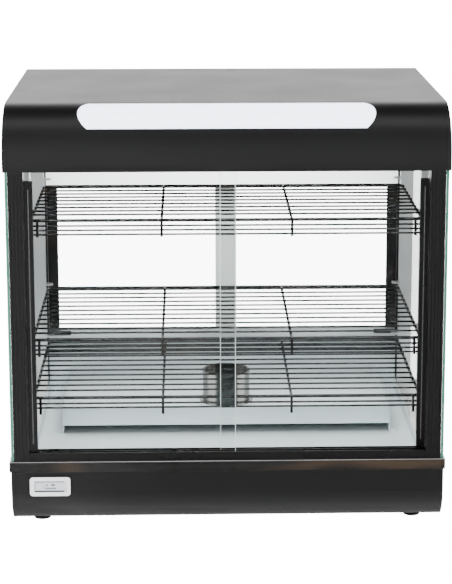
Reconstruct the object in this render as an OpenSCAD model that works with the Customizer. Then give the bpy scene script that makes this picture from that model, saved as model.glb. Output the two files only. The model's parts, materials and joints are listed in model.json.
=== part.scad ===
// Heated countertop display case: a lit hood over a glass cabinet with sliding doors
// front and back, three lift-out wire shelves, and a heated base with a water cup.
// Origin: middle of the footprint, at the surface the feet stand on.
// +X to the right, the front faces -Y, +Z up.

/* [Case] */
// Overall width, across the hood and the trim band
case_w = 660; // [560:5:800]
// Overall depth, front of the hood to its back
case_d = 480; // [400:5:600]
// Overall height, feet included
case_h = 641; // [560:1:760]
// Thickness of the painted and stainless sheet
sheet = 1.5; // [1:0.1:2]

/* [Base] */
// Height of the rubber feet
foot_h = 3; // [3:0.5:20]
// Diameter of the rubber feet
foot_d = 28; // [18:1:40]
// Height of the trim band's top above the table
sill_z = 104.5; // [85:0.5:130]
// Height of the polished trim band
trim_h = 16; // [12:0.5:26]
// Width of the trim band's top, from the front edge inward
ledge_w = 27; // [25:0.5:32]
// Width of the trim band's top along each side
side_ledge_w = 31; // [29:0.5:40]
// Radius of the base's lower front edge
base_r = 50; // [20:1:60]
// How far the control panel sits in from the back
panel_recess = 20; // [18:1:30]
// Depth of the floor pan below the trim band's top
pan_depth = 16.5; // [12:0.5:24]
// Height of the sill under the rear doors
rear_sill_h = 71.5; // [50:0.5:90]

/* [Hood] */
// Height of the hood
hood_h = 93; // [88:1:130]
// Radius of the hood's front curve
hood_r = 76; // [60:1:80]
// Length of the light window
window_w = 442; // [300:5:460]
// Window's upper edge, in degrees round the curve from the top
window_from = 6; // [2:1:15]
// Window's lower edge, in degrees round the curve from the top
window_to = 54; // [40:1:70]
// How far each end of the window bulges
window_bulge = 15; // [8:1:22]
// Thickness of the light window's panel
window_t = 2.5; // [2:0.5:4]

/* [Frame] */
// Width of the corner posts
post_w = 22.5; // [18:0.5:26]
// Depth of the corner posts
post_d = 22; // [21:0.5:24]
// Thickness of the side glass
glass_t = 4; // [3:0.5:6]
// How far the side glass sits in from the overall width
glass_inset = 3; // [2.5:0.5:6]
// Distance between the slots in the shelf uprights
slot_pitch = 13; // [12:0.1:14]
// Width of the shelf uprights
upright_w = 16; // [12:1:24]
// Middle of the front uprights, behind the front
front_upright_y = 140; // [110:5:170]
// Middle of the rear uprights, ahead of the back
rear_upright_y = 55; // [40:1:70]

/* [Doors] */
// Thickness of the door glass
door_t = 4; // [3:0.5:5]
// Distance between the two door planes
track_pitch = 10; // [9:0.5:11]
// Height of the door tracks
track_h = 13.5; // [10:0.5:16]
// Width of the front doors' pull trims
pull_w = 13; // [8:0.5:16]
// Width of the rear doors' pull trims
rear_pull_w = 17; // [10:0.5:20]
// Thickness of the pull trims
pull_t = 7; // [6:0.5:8]
// Overlap of the two front doors in the middle
front_overlap = 23; // [14:1:40]
// Overlap of the two rear doors in the middle
rear_overlap = 36; // [14:1:50]
// Height of the header over the rear doors
header_h = 112; // [80:1:130]

/* [Shelves] */
// Spacing of the shelf wires
wire_pitch = 28; // [20:1:32]
// Diameter of the long wires
wire_d = 3; // [2.5:0.1:4]
// Diameter of the frame wires
frame_wire_d = 5; // [4:0.1:6]
// Diameter of the two cross wires
cross_wire_d = 4; // [3.5:0.1:5]
// Bottom shelf's frame wire above the rim of the water cup
shelf_over_cup = 11.5; // [8:0.5:24]
// Upright slots from the bottom shelf up to the middle one
middle_steps = 7; // [7:1:9]
// Upright slots from the bottom shelf up to the top one
top_steps = 21; // [18:1:22]
// Front edge of the lower two shelves, behind the front
shelf_front = 44; // [40:1:60]
// Front edge of the top shelf, behind the front
top_shelf_front = 54; // [44:1:70]
// Room behind the lower two shelves
shelf_back_room = 98; // [70:1:130]
// Room behind the top shelf
top_back_room = 146; // [90:1:180]
// Gap between a shelf's side wires and the posts' inner faces
shelf_side_gap = 4; // [3:0.5:10]
// Distance between the lip's wires
lip_pitch = 6.5; // [5:0.5:8]

/* [Heat and water] */
// Height of the heater deck above the floor pan
deck_h = 42; // [30:1:60]
// Front edge of the heater deck, behind the front
deck_front = 194; // [150:1:220]
// Room behind the heater deck
deck_back = 40; // [34:1:70]
// Distance of the deck and the cup right of the case's middle
deck_mid = 2; // [0:1:8]
// Gap between the heater deck and the posts' inner faces, on average
deck_side_gap = 37; // [26:1:70]
// Diameter of the heater's sheath
heater_d = 8; // [6:0.5:10]
// Outer diameter of the water cup
cup_d = 76; // [60:1:90]
// Height of the water cup
cup_h = 51; // [35:1:54]
// Diameter of the cup's foot ring
cup_foot_d = 86; // [70:1:96]

/* [Cord] */
// Diameter of the mains cord
cord_d = 7; // [6:0.5:7]

/* [Hidden] */
$fn = 48;

eps = 0.01;
gap = 0.3;                                // clearance between fixed sheet parts
front_y = -case_d / 2;
back_y = case_d / 2;
half_w = case_w / 2;
base_half = half_w - sheet - 1;           // outside of the base's side walls
base_front = front_y + sheet + 0.5;
panel_y = back_y - panel_recess;          // outside face of the control panel
glass_out = half_w - glass_inset;
glass_in = glass_out - glass_t;
post_out = glass_in - gap;
post_in = post_out - post_w;              // inner faces of the posts: the doorway's half width
post_y0 = front_y + 2;                    // front faces of the front posts
hood_z = case_h - hood_h;
post_top = hood_z + 14;
rail_h = 16;
ceiling_z = post_top + 4;
pan_z = sill_z - pan_depth;               // top of the floor pan
deck_z = pan_z + deck_h;                  // top of the heater deck
bottom_shelf_z = deck_z + cup_h + shelf_over_cup;
rear_sill_z = sill_z + rear_sill_h;
header_z = ceiling_z - header_h;
rear_track_z = header_z - track_h;        // underside of the rear upper track
ring_x = half_w - side_ledge_w;           // opening in the trim band
ring_y = case_d / 2 - ledge_w;
plane_front = post_y0 + 6.5;              // front door plane, then one pitch back
plane_rear = -plane_front;                // rear doors mirror the front ones

// ---------------------------------------------------------------- helpers
module block(a, b) { translate(a) cube(b - a); }
module along_x(x0, x1) { translate([x0, 0, 0]) rotate([90, 0, 90]) linear_extrude(x1 - x0) children(); }
module along_y(y0, y1) { translate([0, y1, 0]) rotate([90, 0, 0]) linear_extrude(y1 - y0) children(); }
module both_sides() { children(); mirror([1, 0, 0]) children(); }
module rod_x(x0, x1, y, z, d) {
    translate([x0, y, z]) rotate([0, 90, 0]) cylinder(d = d, h = x1 - x0, $fn = 24);
}
module peg_y(x, y0, y1, z, d) { translate([x, y0, z]) rotate([-90, 0, 0]) cylinder(d = d, h = y1 - y0); }
module rod_y(x, y0, y1, z, d) {
    translate([x, y0, z]) rotate([-90, 0, 0]) cylinder(d = d, h = y1 - y0, $fn = 24);
}
module rod(a, b, d) {
    v = b - a;
    translate(a) rotate([0, acos(v[2] / norm(v)), atan2(v[1], v[0])])
        cylinder(d = d, h = norm(v), $fn = 24);
}

// ---------------------------------------------------------------- base
// Side outline of the base: a box whose lower front edge is a round
module base_outline(inset) {
    r = base_r - inset;
    y0 = base_front + inset;
    z0 = foot_h + inset;
    translate([y0 + r, z0]) square([panel_y - sheet - gap - y0 - r, sill_z - sheet - gap - z0]);
    translate([y0, z0 + r]) square([r + 1, sill_z - sheet - gap - z0 - r]);
    translate([y0 + r, z0 + r]) circle(r);
}
// Front outline of the base: both lower corners are small rounds
corner_r = 4;
module base_front_outline(inset) {
    r = corner_r - inset;
    z0 = foot_h + inset;
    translate([0, (z0 + r + sill_z) / 2]) square([2 * (base_half - inset), sill_z - z0 - r], center = true);
    translate([0, z0 + r]) square([2 * (base_half - inset - r), 2 * r], center = true);
    for (s = [-1, 1]) translate([s * (base_half - inset - r), z0 + r]) circle(r);
}

therm_w = 61;
therm_h = 29.5;
therm_x = -(half_w - 61);
therm_z = 65.5;
therm_r = 5;

module therm_slab(w, h, r, y0, y1) {
    translate([therm_x, y1, therm_z]) rotate([90, 0, 0]) linear_extrude(y1 - y0) {
        square([w - 2 * r, h], center = true);
        square([w, h - 2 * r], center = true);
        for (sx = [-1, 1], sz = [-1, 1]) translate([sx * (w / 2 - r), sz * (h / 2 - r)]) circle(r);
    }
}

vent_n = 9;
vent_pitch = 14;
vent_w = 5;
vent_len = 50;
shell_cut = 20;                           // depth of the base's open top
module base_shell() color([0.05, 0.05, 0.055]) difference() {
    intersection() {
        along_x(-base_half, base_half) base_outline(0);
        along_y(front_y, back_y) base_front_outline(0);
    }
    intersection() {
        along_x(-base_half + sheet, base_half - sheet) {
            base_outline(sheet);
            translate([0, foot_h + sheet]) square([case_d, sill_z]);
            translate([base_front + sheet, sill_z - shell_cut]) square([case_d, 2 * shell_cut]);
        }
        along_y(front_y, case_d) {
            base_front_outline(sheet);
            translate([-base_half + sheet, sill_z - shell_cut])
                square([2 * (base_half - sheet), 2 * shell_cut]);
        }
    }
    therm_slab(therm_w - 9, therm_h - 9, 1, base_front - 1, base_front + 3);
    // air slots in the bottom
    for (i = [0 : vent_n - 1], y = [-60, 60]) {
        x = (i - (vent_n - 1) / 2) * vent_pitch;
        block([x - vent_w / 2, y - vent_len / 2, foot_h - 1],
              [x + vent_w / 2, y + vent_len / 2, foot_h + sheet + 1]);
    }
}

knob_x = 130;
knob_z = 50;
knob_d = 36;
shaft_d = 6;
rocker_w = 19;
rocker_h = 13;
rocker_z = 50;
power_x = 190;
lamp_x = 235;
gland_x = -230;
gland_z = 32;
gland_hole_d = 14;

louvre_x = [-110, 10];                    // ends of the control panel's air slots
louvre_z = 32;                            // underside of the lowest one
louvre_pitch = 9;
louvre_h = 4;
cut_y = [panel_y - 5, panel_y + 5];       // passes right through the control panel
module base_rear_panel() color([0.06, 0.06, 0.065]) difference() {
    along_y(panel_y - sheet, panel_y) intersection() {
        base_front_outline(0);
        translate([-base_half, 0]) square([2 * base_half, sill_z - sheet - gap]);
    }
    peg_y(knob_x, cut_y[0], cut_y[1], knob_z, shaft_d + 2);
    for (x = [power_x, lamp_x])
        block([x - rocker_w / 2 - 1, cut_y[0], rocker_z - rocker_h / 2 - 1],
              [x + rocker_w / 2 + 1, cut_y[1], rocker_z + rocker_h / 2 + 1]);
    peg_y(gland_x, cut_y[0], cut_y[1], gland_z, gland_hole_d);
    for (i = [0 : 4]) {
        z = louvre_z + i * louvre_pitch;
        block([louvre_x[0], cut_y[0], z], [louvre_x[1], cut_y[1], z + louvre_h]);
    }
}

foot_x = half_w - 45;
foot_y = case_d / 2 - 50;
module rubber_feet() color([0.03, 0.03, 0.03])
    for (x = [-foot_x, foot_x], y = [-foot_y, foot_y])
        translate([x, y, 0]) cylinder(d1 = foot_d - 3, d2 = foot_d, h = foot_h, $fn = 48);

trim_bend = 2;                            // radius of the trim band's folded front edge
module trim_band() color([0.72, 0.72, 0.74]) difference() {
    along_x(-half_w, half_w) {
        translate([front_y + trim_bend, sill_z - trim_h]) square([case_d - trim_bend, trim_h]);
        translate([front_y, sill_z - trim_h]) square([trim_bend + eps, trim_h - trim_bend]);
        translate([front_y + trim_bend, sill_z - trim_bend]) circle(trim_bend, $fn = 48);
    }
    block([-half_w + sheet, front_y + sheet, sill_z - trim_h - 1],
          [half_w - sheet, back_y - sheet, sill_z - sheet]);
    block([-ring_x, -ring_y, sill_z - trim_h], [ring_x, ring_y, sill_z + 1]);
}

module floor_pan() color([0.80, 0.83, 0.85]) difference() {
    block([-ring_x + gap, -ring_y + gap, pan_z - sheet], [ring_x - gap, ring_y - gap, sill_z]);
    block([-ring_x + gap + sheet, -ring_y + gap + sheet, pan_z],
          [ring_x - gap - sheet, ring_y - gap - sheet, sill_z + 1]);
    for (y = [heater_y0, heater_y1]) translate([-heater_x, y, pan_z - 5])
        cylinder(d = heater_d + 2, h = 10);
}

liner_y = ring_y - gap;
module rear_liner() color([0.80, 0.83, 0.85])
    block([-post_in + gap, liner_y - sheet, sill_z], [post_in - gap, liner_y, rear_sill_z]);

sill_front = ring_y + gap;
sill_back = -post_y0;
module channel_box(z0, z1) difference() {
    block([-post_in + gap, sill_front, z0], [post_in - gap, sill_back, z1]);
    block([-post_in - 1, sill_front + sheet, z0 + sheet], [post_in + 1, sill_back - sheet, z1 - sheet]);
}
module rear_sill() color([0.06, 0.06, 0.065]) channel_box(sill_z, rear_sill_z);

// ---------------------------------------------------------------- posts and side glass
groove_n = 4;
groove_w = 1;
groove_deep = 0.7;
post_wall = 2;
// Hollow extrusion with fine grooves down its outer face; face is +1 or -1 along Y
module post_outline(face) difference() {
    square([post_w, post_d]);
    translate([post_wall, post_wall]) square([post_w - 2 * post_wall, post_d - 2 * post_wall]);
    for (i = [0 : groove_n - 1])
        translate([post_wall + groove_w + i * (post_w - 2 * post_wall - 3 * groove_w) / (groove_n - 1),
                   face < 0 ? -1 : post_d - groove_deep])
            square([groove_w, 1 + groove_deep]);
}
module post_pair(y, face) color([0.16, 0.16, 0.17]) both_sides()
    translate([post_in, y, sill_z]) linear_extrude(post_top - sill_z) post_outline(face);
module front_posts() post_pair(post_y0, -1);
module rear_posts() post_pair(-post_y0 - post_d, 1);

module side_pane() color([0.75, 0.9, 0.85, 0.3])
    block([glass_in, post_y0, sill_z], [glass_out, -post_y0, post_top]);
module side_glass_left() mirror([1, 0, 0]) side_pane();
module side_glass_right() side_pane();

module top_side_rails() color([0.16, 0.16, 0.17]) both_sides() difference() {
    block([post_in, post_y0 + post_d, post_top - rail_h], [post_out, -post_y0 - post_d, post_top]);
    block([post_in + post_wall, post_y0, post_top - rail_h + post_wall],
          [post_out - post_wall, -post_y0, post_top - post_wall]);
}

// Two-groove track; z0 is its foot, up is +1 for a lower track and -1 for an upper one
fin_t = 1.5;
module track(plane, dir, z0, up, c) color(c) {
    mid = plane + dir * track_pitch / 2;
    half = track_pitch + fin_t / 2 + 0.25;
    z1 = z0 + up * fin_t;
    z2 = z0 + up * track_h;
    block([-post_in + gap, mid - half, min(z0, z1)], [post_in - gap, mid + half, max(z0, z1)]);
    for (k = [-1, 0, 1]) {
        y = mid + k * (half - fin_t / 2);
        block([-post_in + gap, y - fin_t / 2, min(z0, z2)], [post_in - gap, y + fin_t / 2, max(z0, z2)]);
    }
}
module front_lower_track() track(plane_front, 1, sill_z, 1, [0.04, 0.04, 0.045]);
module front_upper_track() track(plane_front, 1, ceiling_z, -1, [0.04, 0.04, 0.045]);
module rear_lower_track() track(plane_rear, -1, rear_sill_z, 1, [0.7, 0.72, 0.74]);
module rear_upper_track() track(plane_rear, -1, header_z, -1, [0.85, 0.86, 0.87]);

module rear_header() color([0.06, 0.06, 0.065]) channel_box(header_z, ceiling_z);
module header_liner() color([0.88, 0.88, 0.88])
    block([-post_in + gap, liner_y - sheet, rear_track_z], [post_in - gap, liner_y, ceiling_z]);

// ---------------------------------------------------------------- hood
lamp_slot_x = 215;
lamp_y = front_y + 52;
lamp_z = case_h - 46;
lamp_d = 16;
lamp_len = 430;
module ceiling_liner() color([0.88, 0.88, 0.88]) difference() {
    block([-post_out, post_y0 + 1, ceiling_z], [post_out, liner_y, ceiling_z + sheet]);
    block([-lamp_slot_x, lamp_y - 16, ceiling_z - 1], [lamp_slot_x, lamp_y + 16, ceiling_z + 5]);
}

// Side outline of the hood, set in from its top and front by inset
module hood_outline(inset, low, back) {
    translate([front_y + inset, low]) square([hood_r - inset, case_h - hood_r - low]);
    translate([front_y + hood_r, low]) square([back - front_y - hood_r, case_h - inset - low]);
    intersection() {
        translate([front_y + hood_r, case_h - hood_r]) circle(hood_r - inset, $fn = 96);
        translate([front_y, case_h - hood_r]) square([hood_r + 1, hood_r]);
    }
}
window_mid = (window_from + window_to) / 2;
window_chord = 2 * hood_r * sin((window_to - window_from) / 2);
window_end_r = (pow(window_chord / 2, 2) + pow(window_bulge, 2)) / (2 * window_bulge);
module window_outline() intersection() {
    square([window_w, window_chord], center = true);
    union() {
        square([window_w - 2 * window_end_r, window_chord], center = true);
        for (s = [-1, 1]) translate([s * (window_w / 2 - window_end_r), 0])
            circle(window_end_r, $fn = 96);
    }
}
module hood_shell() color([0.06, 0.06, 0.065]) difference() {
    along_x(-half_w + sheet, half_w - sheet) hood_outline(0, hood_z, back_y);
    along_x(-half_w, half_w) hood_outline(sheet, hood_z - 1, back_y + 1);
    translate([0, front_y + hood_r, case_h - hood_r]) rotate([window_mid, 0, 0])
        translate([0, 0, hood_r / 2]) linear_extrude(hood_r) window_outline();
}
module hood_end_caps() color([0.06, 0.06, 0.065]) both_sides()
    along_x(half_w - sheet, half_w) hood_outline(0, hood_z, back_y);
hood_back_y = back_y - 2;                 // outside face of the hood's rear panel
module hood_rear_panel() color([0.06, 0.06, 0.065]) difference() {
    block([-half_w + sheet + gap, hood_back_y - sheet, ceiling_z + sheet + gap],
          [half_w - sheet - gap, hood_back_y, case_h - sheet - gap]);
    for (i = [0 : 4], x = [-150, 150]) {
        z = ceiling_z + 18 + 8 * i;
        block([x - 45, back_y - 8, z], [x + 45, back_y, z + 3]);
    }
}

// Curved milk-white panel behind the window slot
window_lap = 7;
module light_window() color([0.93, 0.94, 0.98]) intersection() {
    translate([0, front_y + hood_r, case_h - hood_r]) rotate([0, 90, 0])
        difference() {
            cylinder(r = hood_r - sheet - gap, h = window_w + 20, center = true, $fn = 96);
            cylinder(r = hood_r - sheet - gap - window_t, h = window_w + 40, center = true, $fn = 96);
        }
    translate([0, front_y + hood_r, case_h - hood_r]) rotate([window_mid, 0, 0])
        translate([0, 0, hood_r / 2]) linear_extrude(hood_r)
            square([window_w + 16, window_chord + 2 * window_lap], center = true);
}

module lamp_tube() color([0.95, 0.95, 0.92]) rod_x(-lamp_len / 2, lamp_len / 2, lamp_y, lamp_z, lamp_d);
holder_w = 12;
module lamp_holders() color([0.85, 0.85, 0.83]) both_sides()
    block([lamp_len / 2 + gap, lamp_y - 10, ceiling_z + sheet],
          [lamp_len / 2 + holder_w, lamp_y + 10, lamp_z + lamp_d / 2 + 4]);
ballast = [150, 40, 30];
ballast_y = 20;
module lamp_ballast() color([0.75, 0.76, 0.78])
    translate([-ballast[0] / 2, ballast_y, ceiling_z + sheet]) cube(ballast);

// ---------------------------------------------------------------- shelf uprights and clips
upright_in = post_in + 1;
slot_w = 3.4;
slot_h = 8;
middle_shelf_z = bottom_shelf_z + middle_steps * slot_pitch;
top_shelf_z = bottom_shelf_z + top_steps * slot_pitch;
clip_drop = frame_wire_d / 2;             // clip tops touch the side wires from below
clip_h = 3;
slot_z0 = bottom_shelf_z - clip_drop - clip_h - 1;
slots_down = floor((slot_z0 - sill_z - 8) / slot_pitch);
slots_up = floor((post_top - rail_h - 14 - slot_z0) / slot_pitch);
upright_ys = [front_y + front_upright_y, back_y - rear_upright_y];

module upright(y) {
    along_x(upright_in, upright_in + 1.2) difference() {
        translate([y - upright_w / 2, sill_z]) square([upright_w, post_top - rail_h - sill_z - gap]);
        for (k = [-slots_down : slots_up])
            translate([y - slot_w / 2, slot_z0 + k * slot_pitch - slot_h / 2 + clip_h / 2])
                square([slot_w, slot_h]);
    }
    for (s = [-1, 1])
        translate([0, y + s * (upright_w / 2 - 0.6), 0])
            block([upright_in + 1.2 - eps, -0.6, sill_z], [post_out, 0.6, post_top - rail_h - gap]);
}
module shelf_uprights() color([0.78, 0.79, 0.80]) both_sides() for (y = upright_ys) upright(y);

clip_w = 10;
module shelf_clips() color([0.7, 0.7, 0.72]) both_sides()
    for (z = [bottom_shelf_z, middle_shelf_z, top_shelf_z], y = upright_ys) {
        top = z - clip_drop;
        block([shelf_x - 4, y - clip_w / 2, top - clip_h], [upright_in, y + clip_w / 2, top]);
        block([upright_in - eps, y - slot_w / 2 + 0.2, top - clip_h],
              [upright_in + 5, y + slot_w / 2 - 0.2, top]);
    }

// ---------------------------------------------------------------- heater
heater_x = 200;
heater_y0 = 50;
heater_y1 = 140;
heater_z = pan_z + 22;
elbow_r = 14;
// Hairpin: two long runs joined by a half-round bend, both ends turned down through the pan
module heater_element() color([0.35, 0.33, 0.32]) {
    rod_x(-heater_x + elbow_r, heater_x, heater_y0, heater_z, heater_d);
    rod_x(-heater_x + elbow_r, heater_x, heater_y1, heater_z, heater_d);
    translate([heater_x, (heater_y0 + heater_y1) / 2, heater_z]) rotate([0, 0, -90])
        rotate_extrude(angle = 180, $fn = 48) translate([(heater_y1 - heater_y0) / 2, 0])
            circle(d = heater_d, $fn = 24);
    for (y = [heater_y0, heater_y1]) {
        translate([-heater_x + elbow_r, y, heater_z - elbow_r]) rotate([90, 0, 0]) rotate([0, 0, 90])
            rotate_extrude(angle = 90, $fn = 48) translate([elbow_r, 0]) circle(d = heater_d, $fn = 24);
        translate([-heater_x, y, heater_z - elbow_r - 22]) cylinder(d = heater_d, h = 22, $fn = 24);
    }
}
support_x = 110;
module heater_supports() color([0.7, 0.7, 0.72]) for (x = [-support_x, support_x]) difference() {
    union() {
        block([x - sheet / 2, heater_y0 - 12, pan_z], [x + sheet / 2, heater_y1 + 12, heater_z + heater_d]);
        block([x + sheet / 2 - eps, heater_y0 - 12, pan_z], [x + 12, heater_y1 + 12, pan_z + sheet]);
    }
    for (y = [heater_y0, heater_y1]) rod_x(x - 5, x + 5, y, heater_z, heater_d + 0.4);
}

deck_x = post_in - deck_side_gap;
deck_y0 = front_y + deck_front;
deck_y1 = back_y - deck_back;
deck_skirt = 29;
flange_w = 10;
module heater_deck() color([0.80, 0.83, 0.85]) translate([deck_mid, 0, 0]) difference() {
    union() {
        difference() {
            block([-deck_x, deck_y0, pan_z], [deck_x, deck_y1, deck_z]);
            block([-deck_x + sheet, deck_y0 + sheet, pan_z - 1],
                  [deck_x - sheet, deck_y1 - sheet, deck_z - sheet]);
            // heat leaves under the front and rear skirts
            block([-deck_x + sheet, deck_y0 - 5, pan_z - 1],
                  [deck_x - sheet, deck_y1 + 5, deck_z - deck_skirt]);
        }
        both_sides() block([deck_x - eps, deck_y0, pan_z], [deck_x + flange_w, deck_y1, pan_z + sheet]);
    }
    for (s = [-1, 1], y = [deck_y0 + 12, deck_y1 - 12])
        translate([s * (deck_x + flange_w / 2), y, pan_z - 1]) cylinder(d = 4, h = 5, $fn = 24);
}

// ---------------------------------------------------------------- instruments
module thermometer_bezel() color([0.82, 0.82, 0.84]) difference() {
    therm_slab(therm_w, therm_h, therm_r, front_y, base_front - 0.1);
    therm_slab(therm_w - 12, therm_h - 12, 1.5, front_y - 1, base_front + 1);
}
module thermometer_face() color([0.9, 0.9, 0.92])
    therm_slab(therm_w - 12.6, therm_h - 12.6, 1.3, front_y + 0.8, base_front + 12);
thermostat_d = 40;
module thermostat_body() color([0.75, 0.74, 0.7]) {
    peg_y(knob_x, panel_y - sheet - 28, panel_y - sheet - 0.5, knob_z, thermostat_d);
    peg_y(knob_x, panel_y - sheet - 5, panel_y - sheet + 8, knob_z, shaft_d);
}
rocker_y = panel_y - 2.8;                 // axis the rockers tip about
trunnion_d = 2.6;                         // pin the rocker tips on, let into the switch body's walls
module switch_bodies() color([0.05, 0.05, 0.05]) for (x = [power_x, lamp_x]) difference() {
    union() {
        block([x - rocker_w / 2 - 0.7, panel_y - 20, rocker_z - rocker_h / 2 - 0.7],
              [x + rocker_w / 2 + 0.7, panel_y + 0.1, rocker_z + rocker_h / 2 + 0.7]);
        block([x - rocker_w / 2 - 3, panel_y + 0.1 - eps, rocker_z - rocker_h / 2 - 3],
              [x + rocker_w / 2 + 3, panel_y + 2, rocker_z + rocker_h / 2 + 3]);
    }
    block([x - rocker_w / 2 + 1.5, panel_y - 8, rocker_z - rocker_h / 2 + 1],
          [x + rocker_w / 2 - 1.5, panel_y + 5, rocker_z + rocker_h / 2 - 1]);
    translate([x, rocker_y, rocker_z]) cylinder(d = trunnion_d + 0.1, h = rocker_h - 0.6, center = true);
}
// Paddle seen from its end: a shallow V that tips about its long axis
rocker_tilt = 10;
rocker_room = 2.6;                        // height the paddle leaves free in its frame
module rocker(x) translate([x, rocker_y, rocker_z]) rotate([0, 0, -rocker_tilt]) {
    translate([0, 0, -(rocker_h - rocker_room) / 2]) linear_extrude(rocker_h - rocker_room)
        polygon([[-7, 5.2], [0, 4], [7, 5.2], [5.2, -2], [-5.2, -2]]);
    cylinder(d = trunnion_d, h = rocker_h - 1, center = true);
}
module power_rocker() color([0.7, 0.08, 0.06]) rocker(power_x);
module lamp_rocker() color([0.05, 0.05, 0.05]) rocker(lamp_x);
skirt_h = 5;
grip_d = knob_d - 8;
module thermostat_knob() color([0.04, 0.04, 0.04])
    translate([knob_x, panel_y + 1, knob_z]) rotate([-90, 0, 0]) difference() {
        union() {
            cylinder(d = knob_d, h = skirt_h);
            cylinder(d = grip_d, h = panel_recess - 2);
        }
        translate([0, 0, -1]) cylinder(d = shaft_d + 0.1, h = 13);
        for (a = [0 : 30 : 359]) rotate(a) translate([grip_d / 2 + 1, 0, skirt_h + eps])
            cylinder(d = 4, h = panel_recess, $fn = 24);
    }

screw_d = 7;
module screw_head(p, r) translate(p) rotate(r) difference() {
    intersection() {
        cylinder(d = screw_d, h = 1.9);
        translate([0, 0, -4.2]) sphere(r = 6, $fn = 48);
    }
    block([-2.4, -0.5, 1], [2.4, 0.5, 3]);
    block([-0.5, -2.4, 1], [0.5, 2.4, 3]);
}
module case_screws() color([0.6, 0.6, 0.62]) both_sides() {
    for (z = [foot_h + 14, sill_z - trim_h - 6]) screw_head([base_half - 14, panel_y, z], [-90, 0, 0]);
    for (x = [half_w - 18, 60], z = [ceiling_z + 14, case_h - 14])
        screw_head([x, hood_back_y, z], [-90, 0, 0]);
}

// ---------------------------------------------------------------- doors
door_play = 0.5;
front_door_z = [sill_z + 3, ceiling_z - 5];
rear_door_z = [rear_sill_z + 3, header_z - 5];
front_pull_z = [sill_z + track_h + 1.5, hood_z - 14];
rear_pull_z = [rear_sill_z + track_h + 1.5, rear_track_z - 1.5];
front_planes = [plane_front, plane_front + track_pitch];
rear_planes = [plane_rear, plane_rear - track_pitch];

// side is -1 for a left door and +1 for a right one; overlap is shared in the middle
module door_glass(side, y, zs, overlap, shift) color([0.8, 0.93, 0.9, 0.3]) {
    outer = side * (post_in - door_play - 1.5);
    inner = shift - side * overlap / 2;
    block([min(outer, inner), y - door_t / 2, zs[0]], [max(outer, inner), y + door_t / 2, zs[1]]);
}
// U-shaped pull trim that grips the outer edge of a door
module door_pull(side, y, zs, w) color([0.03, 0.03, 0.035]) difference() {
    outer = side * (post_in - door_play);
    inner = side * (post_in - door_play - w);
    block([min(outer, inner), y - pull_t / 2, zs[0]], [max(outer, inner), y + pull_t / 2, zs[1]]);
    block([min(outer - side * 1.5, inner - side), y - door_t / 2, zs[0] - 1],
          [max(outer - side * 1.5, inner - side), y + door_t / 2, zs[1] + 1]);
}
front_shift = 0.5;
rear_shift = 6;
module front_door_left_glass() door_glass(-1, front_planes[0], front_door_z, front_overlap, front_shift);
module front_door_left_pull() door_pull(-1, front_planes[0], front_pull_z, pull_w);
module front_door_right_glass() door_glass(1, front_planes[1], front_door_z, front_overlap, front_shift);
module front_door_right_pull() door_pull(1, front_planes[1], front_pull_z, pull_w);
module rear_door_left_glass() door_glass(-1, rear_planes[0], rear_door_z, rear_overlap, rear_shift);
module rear_door_left_pull() door_pull(-1, rear_planes[0], rear_pull_z, rear_pull_w);
module rear_door_right_glass() door_glass(1, rear_planes[1], rear_door_z, rear_overlap, rear_shift);
module rear_door_right_pull() door_pull(1, rear_planes[1], rear_pull_z, rear_pull_w);

// ---------------------------------------------------------------- shelves
shelf_x = post_in - shelf_side_gap - frame_wire_d / 2;   // centre of the side wires
weld = 0.6;                                              // how far welded wires sink in
wire_lift = (frame_wire_d + wire_d) / 2 - weld;
cross_x = shelf_x / 3;
hook_inset = 10;
function shelf_gaps(front, back) = round((case_d - front - back) / wire_pitch);

frame_bend = 9;                                          // corner radius of the frame wire
wire_overrun = 1.2;                                      // long wires end past the side wires

// One wire bent into a rectangle with round corners
module frame_wire(y0, y1, z) {
    for (y = [y0, y1]) rod_x(-shelf_x + frame_bend, shelf_x - frame_bend, y, z, frame_wire_d);
    for (s = [-1, 1]) {
        rod_y(s * shelf_x, y0 + frame_bend, y1 - frame_bend, z, frame_wire_d);
        for (t = [[y0, 1], [y1, -1]])
            translate([s * (shelf_x - frame_bend), t[0] + t[1] * frame_bend, z])
                rotate([0, 0, s > 0 ? (t[1] > 0 ? -90 : 0) : (t[1] > 0 ? 180 : 90)])
                    rotate_extrude(angle = 90, $fn = 48) translate([frame_bend, 0])
                        circle(d = frame_wire_d, $fn = 24);
    }
}

module wire_shelf(z, front, back) color([0.62, 0.62, 0.64]) {
    y0 = front_y + front;
    n = shelf_gaps(front, back);
    y1 = y0 + n * wire_pitch;
    frame_wire(y0, y1, z);
    for (s = [-1, 1]) rod_y(s * cross_x, y0, y1, z, cross_wire_d);
    for (i = [1 : n - 1])
        rod_x(-shelf_x - wire_overrun, shelf_x + wire_overrun, y0 + i * wire_pitch, z + wire_lift, wire_d);
}
// Front lip, welded to the front wire: wires carried by hooks that lean forward a little
hook_lean = 3;
hook_len = 24;
module shelf_lip(z, front, wires) color([0.62, 0.62, 0.64]) {
    y0 = front_y + front - (frame_wire_d + cross_wire_d) / 2 - 0.02;
    z0 = z + frame_wire_d / 2;
    for (x = [-shelf_x + hook_inset, -cross_x, cross_x, shelf_x - hook_inset])
        rod([x, y0, z0], [x, y0 - hook_lean, z - hook_len], cross_wire_d);
    for (k = [1 : wires]) {
        drop = lip_pitch * k;
        lean = hook_lean * (drop + frame_wire_d / 2) / (hook_len + frame_wire_d / 2);
        rod_x(-shelf_x + 2, shelf_x - 2, y0 - lean - (cross_wire_d + wire_d) / 2 + weld, z - drop, wire_d);
    }
}
module top_shelf() wire_shelf(top_shelf_z, top_shelf_front, top_back_room);
module middle_shelf() wire_shelf(middle_shelf_z, shelf_front, shelf_back_room);
module bottom_shelf() wire_shelf(bottom_shelf_z, shelf_front, shelf_back_room);
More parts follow.
